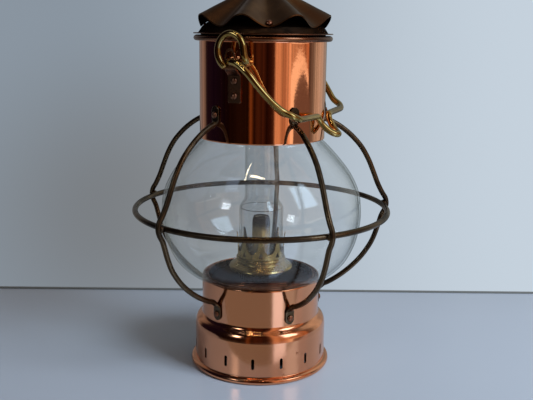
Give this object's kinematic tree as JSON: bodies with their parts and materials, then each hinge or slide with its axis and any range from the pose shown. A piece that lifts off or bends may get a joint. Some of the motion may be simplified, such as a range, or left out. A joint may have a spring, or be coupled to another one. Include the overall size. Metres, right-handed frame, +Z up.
{
  "type": "ship lantern",
  "caption": "Copper ship's oil lantern: vented base, round glass globe in a wire guard, riveted upper cylinder, fluted roof, wire bail, burner and lamp glass inside.",
  "frame": {"origin": "centre of the base on the table it stands on", "axes": "+Z up along the lantern's axis; -Y toward the side seen in the picture; +X to the viewer's right"},
  "size_m": [0.261, 0.2618, 0.3878],
  "materials": {
    "copper_satin": "satin copper sheet with a soft sheen",
    "copper_polished": "mirror-polished copper",
    "roof_bronze": "brown patina on copper sheet",
    "guard_bronze": "dark bronzed wire, slightly glossy",
    "copper_rivet": "hammered copper rivet",
    "bail_brass": "polished brass wire, lightly tarnished",
    "burner_brass": "aged brass, sooted near the flame",
    "clear_glass": "clear polished glass",
    "cotton_wick": "woven cotton, charred at the top"
  },
  "bodies": {
    "lantern": {"base_shell": "copper_satin", "globe_seat_ring": "copper_satin", "font_catch_1": "copper_satin", "font_catch_2": "copper_satin", "font_catch_3": "copper_satin", "globe": "clear_glass", "guard_ring": "guard_bronze", "upper_cylinder": "copper_polished", "globe_collar": "copper_satin", "bail_lug_1": "copper_polished", "bail_lug_2": "copper_polished", "guard_wire_1": "guard_bronze", "guard_wire_2": "guard_bronze", "guard_wire_3": "guard_bronze", "guard_wire_4": "guard_bronze", "guard_wire_5": "guard_bronze", "upper_rivet_1": "copper_rivet", "upper_rivet_2": "copper_rivet", "upper_rivet_3": "copper_rivet", "upper_rivet_4": "copper_rivet", "upper_rivet_5": "copper_rivet", "lower_rivet_1": "copper_rivet", "lower_rivet_2": "copper_rivet", "lower_rivet_3": "copper_rivet", "lower_rivet_4": "copper_rivet", "lower_rivet_5": "copper_rivet", "lug_rivet_1": "copper_rivet", "lug_rivet_2": "copper_rivet", "lug_rivet_3": "copper_rivet", "lug_rivet_4": "copper_rivet"},
    "handle": {"bail_handle": "bail_brass"},
    "lid": {"lid_plate": "roof_bronze", "hood": "roof_bronze", "hood_cap": "roof_bronze", "hood_rivet_1": "copper_rivet", "hood_rivet_2": "copper_rivet", "hood_rivet_3": "copper_rivet", "hood_rivet_4": "copper_rivet"},
    "oil_font": {"font": "copper_satin", "font_collar": "burner_brass", "font_tab_1": "copper_satin", "font_tab_2": "copper_satin", "font_tab_3": "copper_satin", "burner_body": "burner_brass", "chimney_gallery": "burner_brass", "wick_tube": "burner_brass", "draught_tube": "burner_brass"},
    "lamp_glass": {"chimney": "clear_glass"},
    "wick_winder": {"wick_wheel": "burner_brass", "wick_shaft": "burner_brass", "wick_knob": "burner_brass"},
    "wick": {"wick": "cotton_wick"}
  },
  "joints": [
    {"name": "bail_swing", "type": "hinge", "parent": "lantern", "child": "handle", "pos_m": [0, 0, 0.3096], "axis": [-0.4067, -0.9135, 0], "range_deg": [0, 215]},
    {"name": "lid_lift", "type": "slide", "parent": "lantern", "child": "lid", "axis": [0, 0, 1], "range_m": [0, 0.03]},
    {"name": "font_twist", "type": "hinge", "parent": "lantern", "child": "oil_font", "pos_m": [0, 0, 0.04], "axis": [0, 0, 1], "range_deg": [0, 25]},
    {"name": "glass_lift", "type": "slide", "parent": "oil_font", "child": "lamp_glass", "axis": [0, 0, 1], "range_m": [0, 0.04]},
    {"name": "wick_turn", "type": "hinge", "parent": "oil_font", "child": "wick_winder", "pos_m": [0.0125, 0, 0.1065], "axis": [0, 1, 0], "range_deg": [-60, 120]},
    {"name": "wick_raise", "type": "slide", "parent": "oil_font", "child": "wick", "axis": [0, 0, 1], "range_m": [-0.00419, 0.00838]}
  ],
  "couplings": [
    {"joint": "wick_raise", "follows": "wick_turn", "m_per_rad": 0.004}
  ]
}
